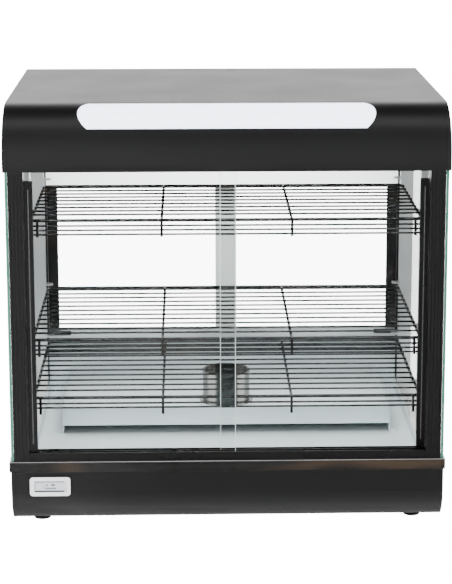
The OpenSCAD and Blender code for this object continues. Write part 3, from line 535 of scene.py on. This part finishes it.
def lathe_shape(profile, sides, centre, along):
    """A closed solid turned from (radius, height) points about the axis `along` through centre."""
    shape = bmesh.new()
    axis = Vector(along)
    side = axis.orthogonal().normalized()
    other = axis.cross(side)
    rings = []
    for radius, height in profile:
        rings.append([shape.verts.new(Vector(centre) + axis * height
                      + radius * (math.cos(a) * side + math.sin(a) * other))
                      for a in (2 * math.pi * k / sides for k in range(sides))])
    for i, ring in enumerate(rings):
        following = rings[(i + 1) % len(rings)]
        for k in range(sides):
            face = shape.faces.new((ring[k], ring[(k + 1) % sides], following[(k + 1) % sides], following[k]))
            face.smooth = True
    bmesh.ops.recalc_face_normals(shape, faces=shape.faces)
    return shape


def place(piece, body, slot):
    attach(piece, body)
    return piece


def copies_tree(name, fan):
    """Copies of one piece: in rows of columns, or turned in steps about the Y axis through Centre."""
    tree = bpy.data.node_groups.new(name, "GeometryNodeTree")
    face = tree.interface
    face.new_socket("Geometry", in_out="INPUT", socket_type="NodeSocketGeometry")
    kinds = {"Piece": "Object", "Material": "Material", "Columns": "Int", "Start": "Vector"}
    kinds.update({"Turn": "Float"} if fan else {"Rows": "Int", "Column step": "Vector", "Row step": "Vector"})
    for key, kind in kinds.items():
        face.new_socket(key, in_out="INPUT", socket_type="NodeSocket" + kind)
    face.new_socket("Geometry", in_out="OUTPUT", socket_type="NodeSocketGeometry")
    add, link = tree.nodes.new, tree.links.new
    given = add("NodeGroupInput").outputs
    line = add("GeometryNodeMeshLine")
    link(given["Columns"], line.inputs["Count"])
    link(given["Start"], line.inputs["Start Location"])
    source = add("GeometryNodeObjectInfo")
    link(given["Piece"], source.inputs["Object"])
    copies = add("GeometryNodeInstanceOnPoints")
    link(source.outputs["Geometry"], copies.inputs["Instance"])
    if fan:
        line.inputs["Offset"].default_value = (0, 0, 0)
        turn = add("ShaderNodeMath")
        turn.operation = "MULTIPLY"
        link(add("GeometryNodeInputIndex").outputs[0], turn.inputs[0])
        link(given["Turn"], turn.inputs[1])
        rotation = add("ShaderNodeCombineXYZ")
        link(turn.outputs[0], rotation.inputs["Y"])
        link(rotation.outputs[0], copies.inputs["Rotation"])
        link(line.outputs["Mesh"], copies.inputs["Points"])
    else:
        link(given["Column step"], line.inputs["Offset"])
        row = add("GeometryNodeMeshLine")
        link(given["Rows"], row.inputs["Count"])
        link(given["Row step"], row.inputs["Offset"])
        spread = add("GeometryNodeInstanceOnPoints")
        link(line.outputs["Mesh"], spread.inputs["Points"])
        link(row.outputs["Mesh"], spread.inputs["Instance"])
        points = add("GeometryNodeRealizeInstances")
        link(spread.outputs[0], points.inputs[0])
        link(points.outputs[0], copies.inputs["Points"])
    real = add("GeometryNodeRealizeInstances")
    link(copies.outputs[0], real.inputs[0])
    paint = add("GeometryNodeSetMaterial")
    link(real.outputs[0], paint.inputs["Geometry"])
    link(given["Material"], paint.inputs["Material"])
    link(paint.outputs[0], add("NodeGroupOutput").inputs[0])
    return tree


ROWS = copies_tree("copies_in_rows", False)
FAN = copies_tree("copies_in_a_fan", True)


def copies(name, tree, shape, material, **values):
    """A plain mesh of copies of shape, made by one of the trees above."""
    source = finish_mesh(name + "_source", shape, material)
    holder = bpy.data.objects.new(name, bpy.data.meshes.new(name))
    bpy.context.scene.collection.objects.link(holder)
    modifier = holder.modifiers.new("copies", "NODES")
    modifier.node_group = tree
    values = {key.replace("_", " "): value for key, value in values.items()}
    values.update({"Piece": source, "Material": material})
    for item in tree.interface.items_tree:
        if item.in_out == "INPUT" and item.name in values:
            modifier[item.identifier] = values[item.name]
    evaluated = holder.evaluated_get(bpy.context.evaluated_depsgraph_get())
    mesh = bpy.data.meshes.new_from_object(evaluated)
    holder.modifiers.remove(modifier)
    holder.data = mesh
    bpy.data.objects.remove(source)
    return holder


def bead_shape(radius, height):
    shape = bmesh.new()
    bmesh.ops.create_icosphere(shape, subdivisions=2, radius=radius)
    for vert in shape.verts:
        vert.co.z *= height / radius
        vert.co.x *= 1.0 + 0.12 * math.sin(vert.co.y * 900)
    for face in shape.faces:
        face.smooth = True
    return shape


# ---------------------------------------------------------------- detail pieces
WIRE_PITCH = 28 * MM
FRAME_WIRE_D = 5 * MM
LIP_PITCH = 6.5 * MM
RIB_PITCH = 12.6 * MM
UPRIGHT_YS = (-100 * MM, 185 * MM)
SLOT_SHADE_X = 302.6 * MM
END_BLOCK_XS = (262 * MM, 299.5 * MM)
HOOD_R = 76 * MM
WINDOW_W = 442 * MM
WINDOW_BULGE = 15 * MM
WINDOW_FROM = math.radians(6)
WINDOW_TO = math.radians(54)
END_STEPS = 12
SIDE_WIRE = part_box("top_shelf")[1].x - FRAME_WIRE_D / 2
CROSS_WIRE = SIDE_WIRE / 3


def add_shelf_details():
    """Weld beads where the shelf wires cross and where the lips meet their hooks."""
    wire = SLOTS["shelf_wire"]
    for name, wires in (("top", 3), ("middle", 3), ("bottom", 2)):
        low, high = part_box(name + "_shelf")
        rows = round((high.y - low.y - FRAME_WIRE_D) / WIRE_PITCH) - 1
        z = high.z - 4.6 * MM
        for label, x, width in (("cross", CROSS_WIRE, 2.4), ("side", SIDE_WIRE, 2.8)):
            beads = copies(f"{name}_shelf_{label}_welds", ROWS, bead_shape(width * MM, 1.5 * MM), wire,
                           Columns=2, Rows=rows, Start=(-x, low.y + FRAME_WIRE_D / 2 + WIRE_PITCH, z),
                           Column_step=(2 * x, 0, 0), Row_step=(0, WIRE_PITCH, 0))
            place(beads, "shelf_" + name, "shelf_wire")
        lip_low, lip_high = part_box(name + "_shelf_lip")
        beads = copies(f"{name}_lip_welds", ROWS, bead_shape(2.0 * MM, 1.6 * MM), wire, Columns=2, Rows=wires,
                       Start=(-CROSS_WIRE, lip_high.y - 4.6 * MM, lip_high.z - 9.0 * MM),
                       Column_step=(2 * CROSS_WIRE, 0, 0), Row_step=(0, -0.6 * MM, -LIP_PITCH))
        place(beads, "shelf_" + name, "shelf_wire")


def add_glass_details():
    """Green front edges of the side panes, ground inner edges of the doors, and the rear draught film."""
    for name in ("side_glass_left", "side_glass_right"):
        low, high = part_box(name)
        strips = [block_shape((low.x + 0.2 * MM, low.y - 0.5 * MM, low.z + MM),
                              (high.x - 0.2 * MM, low.y - 0.03 * MM, high.z - MM), 0.1 * MM),
                  block_shape((low.x + 0.2 * MM, high.y + 0.03 * MM, low.z + MM),
                              (high.x - 0.2 * MM, high.y + 0.5 * MM, high.z - MM), 0.1 * MM)]
        place(finish_mesh(name + "_edges", merged(strips), EXTRA["glass_edge_green"]), "case", "pane_glass")
    for side in ("left", "right"):
        low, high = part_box(f"front_door_{side}_glass")
        inner, inward = (high.x, -1) if side == "left" else (low.x, 1)
        xs = sorted((inner, inner + inward * 0.8 * MM))
        strip = block_shape((xs[0], low.y - 0.25 * MM, low.z + MM),
                            (xs[1], low.y - 0.02 * MM, high.z - MM), 0.06 * MM)
        place(finish_mesh(f"front_door_{side}_ground_edge", strip, EXTRA["glass_edge_pale"]),
              f"front_door_{side}", "door_glass")
    left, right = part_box("rear_door_left_glass"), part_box("rear_door_right_glass")
    film = block_shape((right[0].x, left[0].y - 0.4 * MM, left[0].z + 2 * MM),
                       (left[1].x, left[0].y - 0.03 * MM, left[1].z - 2 * MM), 0.1 * MM)
    place(finish_mesh("rear_door_draught_film", film, EXTRA["draught_grey"]), "rear_door_left", "track_grey")


def add_pull_ribs():
    """A row of small ribs down each door's pull trim."""
    for door in ("front_door_left", "front_door_right", "rear_door_left", "rear_door_right"):
        low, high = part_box(door + "_pull")
        middle = (low.x + high.x) / 2
        face = low.y if door.startswith("front") else high.y
        ys = sorted((face, face + (-0.5 if door.startswith("front") else 0.5) * MM))
        rib = block_shape((-0.7 * MM, ys[0], -6 * MM), (0.7 * MM, ys[1], 6 * MM), 0.2 * MM)
        count = int((high.z - low.z - 20 * MM) / RIB_PITCH)
        start = (low.z + high.z) / 2 - (count - 1) * RIB_PITCH / 2
        ribs = copies(door + "_pull_ribs", ROWS, rib, EXTRA["trim_grey"], Columns=1, Rows=count,
                      Start=(middle, 0, start), Column_step=(0, 0, 0), Row_step=(0, 0, RIB_PITCH))
        place(ribs, door, "track_black")


def add_frame_details():
    """Dark strips behind the upright slots as painted shade, and dark blocks at the ends of the rear lower
    track.
    """
    low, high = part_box("shelf_uprights")
    slot_shade_strips = []
    # painted shade: dark strips inside the upright channels, behind the slots
    for y in UPRIGHT_YS:
        for s in (-1, 1):
            xs = sorted((s * SLOT_SHADE_X, s * (SLOT_SHADE_X + 0.4 * MM)))
            slot_shade_strips.append(block_shape((xs[0], y - 6.6 * MM, low.z + 2 * MM),
                                       (xs[1], y + 6.6 * MM, high.z - 2 * MM), 0.1 * MM))
    place(finish_mesh("slot_backing", merged(slot_shade_strips), EXTRA["slot_shade_and_block_black"]), "case", "post_black")
    low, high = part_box("rear_lower_track")
    blocks = []
    for s in (-1, 1):
        xs = sorted(s * x for x in END_BLOCK_XS)
        blocks.append(block_shape((xs[0], low.y - 2.4 * MM, high.z - 8 * MM),
                                  (xs[1], low.y - 0.1 * MM, high.z - 0.2 * MM), 0.4 * MM))
    place(finish_mesh("rear_track_end_blocks", merged(blocks), EXTRA["slot_shade_and_block_black"]), "case", "track_black")


def add_trim_details():
    """A pale strip along the trim band's front fold: a painted highlight where the fold catches the light."""
    low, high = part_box("trim_band")
    shape = bmesh.new()
    section = [(0.10, -2.3), (0.75, -0.95), (2.10, -0.30), (1.85, -0.75), (0.95, -1.25), (0.50, -2.3)]
    ends = []
    for x in (low.x + 0.3 * MM, high.x - 0.3 * MM):
        ends.append([shape.verts.new((x, low.y + y * MM, high.z + z * MM)) for y, z in section])
    for i in range(len(section)):
        j = (i + 1) % len(section)
        shape.faces.new((ends[0][i], ends[0][j], ends[1][j], ends[1][i]))
    shape.faces.new(ends[0][::-1])
    shape.faces.new(ends[1])
    bmesh.ops.recalc_face_normals(shape, faces=shape.faces)
    place(finish_mesh("trim_fold", shape, EXTRA["fold_painted_highlight"]), "case", "polished_steel")


def window_rim_points(radius, centre_y, centre_z):
    """The light window's outline, laid on the hood's curve."""
    half = WINDOW_W / 2
    chord = 2 * HOOD_R * math.sin((WINDOW_TO - WINDOW_FROM) / 2) / 2
    bulge = (chord ** 2 + WINDOW_BULGE ** 2) / (2 * WINDOW_BULGE)
    sweep = math.asin(chord / bulge)
    flat = []
    for s in (1, -1):
        for k in range(END_STEPS + 1):
            a = s * (-sweep + 2 * sweep * k / END_STEPS)
            flat.append((s * (half - bulge + bulge * math.cos(a)), bulge * math.sin(a)))
    flat.append(flat[0])
    points = []
    middle = (WINDOW_FROM + WINDOW_TO) / 2
    for (x0, v0), (x1, v1) in zip(flat, flat[1:]):
        for k in range(4):
            x, v = x0 + (x1 - x0) * k / 4, v0 + (v1 - v0) * k / 4
            angle = middle + math.asin(max(-1.0, min(1.0, -v / HOOD_R)))
            y, z = centre_y - radius * math.sin(angle), centre_z + radius * math.cos(angle)
            points.append(Vector((x, y, z)))
    points.append(points[0].copy())
    return points


def add_hood_details():
    """A bright rim round the light window, a painted highlight on its cut edge, and caps on the lamp."""
    low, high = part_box("hood_shell")
    points = window_rim_points(HOOD_R - 1.0 * MM, low.y + HOOD_R, high.z - HOOD_R)
    # painted highlight: a pale tube along the window's cut edge
    rim = tube_object("window_rim", points, 0.7 * MM, 8, EXTRA["rim_painted_highlight"])
    place(rim, "case", "bezel_chrome")
    low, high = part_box("lamp_tube")
    centre = Vector((0, (low.y + high.y) / 2, (low.z + high.z) / 2))
    radius = (high.z - low.z) / 2
    shapes = []
    for s in (-1, 1):
        end = s * (high.x - 14 * MM)
        profile = [(radius + 0.1 * MM, 0), (radius + 0.5 * MM, 0.5 * MM), (radius + 0.5 * MM, 12 * MM),
                   (radius + 0.1 * MM, 13 * MM)]
        shapes.append(lathe_shape(profile, 32, centre + Vector((end, 0, 0)), (s, 0, 0)))
    place(finish_mesh("lamp_caps", merged(shapes), EXTRA["lamp_cap"]), "case", "upright_steel")


def add_display():
    """The temperature display: pale panel, dark slots above and below, marks and a level scale."""
    low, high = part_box("thermometer_face")
    front = low.y
    x0, x1, z0, z1 = low.x, high.x, low.z, high.z
    panel = block_shape((x0 + 1.0 * MM, front - 0.25 * MM, z0 + 2.6 * MM),
                        (x1 - 1.0 * MM, front - 0.02 * MM, z1 - 2.2 * MM), 0.08 * MM)
    place(finish_mesh("display_panel", panel, EXTRA["display_pale"]), "case", "display_plastic")
    slots = []
    for z, height in ((z0 + 0.3 * MM, 1.9 * MM), (z1 - 1.5 * MM, 1.1 * MM)):
        slots.append(block_shape((x0 + 0.8 * MM, front - 0.3 * MM, z),
                                 (x1 - 3 * MM, front - 0.02 * MM, z + height), 0.08 * MM))
    small_marks = [(17.5, 10.2, 3.4, 1.6), (26.0, 10.0, 5.4, 2.2)]
    side_lines = [(2.0, 4.0, 0.5, 10.0), (13.2, 4.0, 0.5, 10.0)]
    for x, z, width, height in small_marks + side_lines:
        corner = Vector((x0 + x * MM, front - 0.45 * MM, z0 + z * MM))
        size = Vector((width, 0.18, height)) * MM
        slots.append(block_shape(corner, corner + size, 0.06 * MM))
    place(finish_mesh("display_slots", merged(slots), EXTRA["print_dark"]), "case", "track_black")
    tick = block_shape((-0.45 * MM, front - 0.45 * MM, 0),
                       (0.45 * MM, front - 0.27 * MM, 2.6 * MM), 0.05 * MM)
    marks = copies("display_scale", ROWS, tick, EXTRA["print_dark"], Columns=11, Rows=1,
                   Start=(x0 + 17.6 * MM, 0, z0 + 4.4 * MM), Column_step=(1.5 * MM, 0, 0), Row_step=(0, 0, 0))
    place(marks, "case", "track_black")


def add_controls():
    """Scale ticks round the thermostat knob, and its pointer."""
    low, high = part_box("thermostat_knob")
    centre = (low.x + high.x) / 2, (low.z + high.z) / 2
    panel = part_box("base_rear_panel")[1].y
    tick = block_shape((-0.5 * MM, 0.02 * MM, 21 * MM), (0.5 * MM, 0.16 * MM, 24.5 * MM), 0.04 * MM)
    ticks = copies("thermostat_scale", FAN, tick, EXTRA["print_white"], Columns=10,
                   Start=(centre[0], panel, centre[1]), Turn=math.radians(30))
    place(ticks, "case", "liner_white")
    pointer = block_shape((centre[0] - 0.8 * MM, high.y - 0.1 * MM, centre[1] + 3 * MM),
                          (centre[0] + 0.8 * MM, high.y + 0.3 * MM, centre[1] + 12.5 * MM), 0.1 * MM)
    place(finish_mesh("knob_pointer", pointer, EXTRA["print_white"]), "heat_knob", "liner_white")


def add_gland_details():
    """Grip ribs round the cord gland."""
    low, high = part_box("cord_gland")
    x, z = (low.x + high.x) / 2, (low.z + high.z) / 2
    profile = [(8.2 * MM, -0.6 * MM), (8.7 * MM, -0.3 * MM), (8.7 * MM, 0.3 * MM), (8.2 * MM, 0.6 * MM),
               (5.2 * MM, 0.6 * MM), (5.2 * MM, -0.6 * MM)]
    rib = lathe_shape(profile, 32, (0, 0, 0), (0, 1, 0))
    ribs = copies("gland_ribs", ROWS, rib, SLOTS["cord_black"], Columns=1, Rows=4,
                  Start=(x, high.y - 24 * MM, z), Column_step=(0, 0, 0), Row_step=(0, 2.4 * MM, 0))
    place(ribs, "case", "cord_black")


# ---------------------------------------------------------------- build
add_camera()
add_cord()
finish_cad_nodes()
add_shelf_details()
add_glass_details()
add_pull_ribs()
add_frame_details()
add_trim_details()
add_hood_details()
add_display()
add_controls()
add_gland_details()
add_floor()
add_lights()
